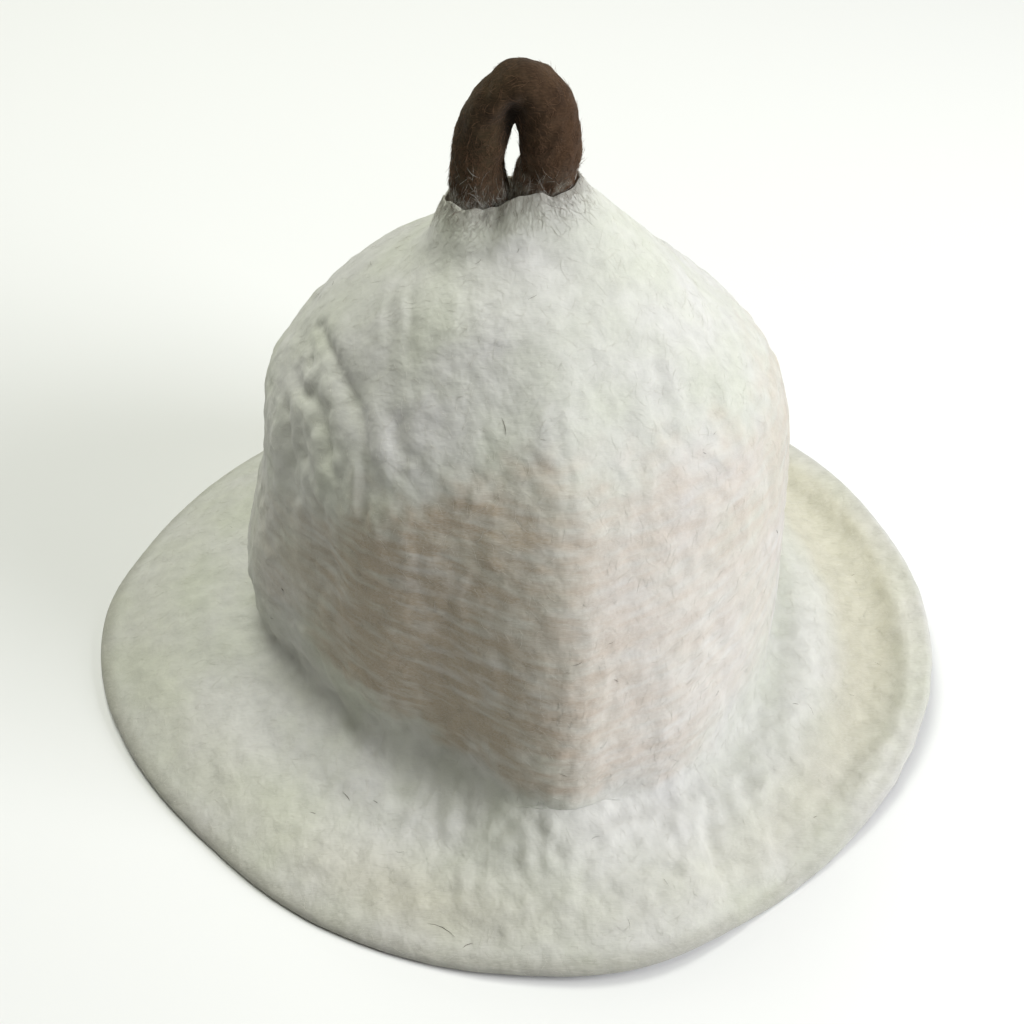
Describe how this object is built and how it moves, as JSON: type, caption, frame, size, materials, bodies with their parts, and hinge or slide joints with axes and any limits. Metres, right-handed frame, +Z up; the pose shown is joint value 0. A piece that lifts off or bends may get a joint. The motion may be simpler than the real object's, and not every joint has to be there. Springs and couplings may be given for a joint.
{
  "type": "felt sauna hat",
  "caption": "Bell-shaped sauna hat of thick white felt with a beige zone, a wide soft brim and an upright brown felt hanging loop.",
  "frame": {"origin": "middle of the hat's footprint, on the surface that the brim rests on", "axes": "+Z up along the crown, -Y to the front, where the keel runs down the crown, +X to the right of someone who faces the front"},
  "size_m": [0.3088, 0.3002, 0.2322],
  "materials": {
    "white_felt": "hand-felted off-white wool with a soft pinkish-beige zone round the crown",
    "brown_felt": "hand-felted dark brown wool with loose lighter fibres"
  },
  "bodies": {
    "root": {"felt_body": "white_felt", "hanging_loop": "brown_felt"}
  },
  "joints": []
}
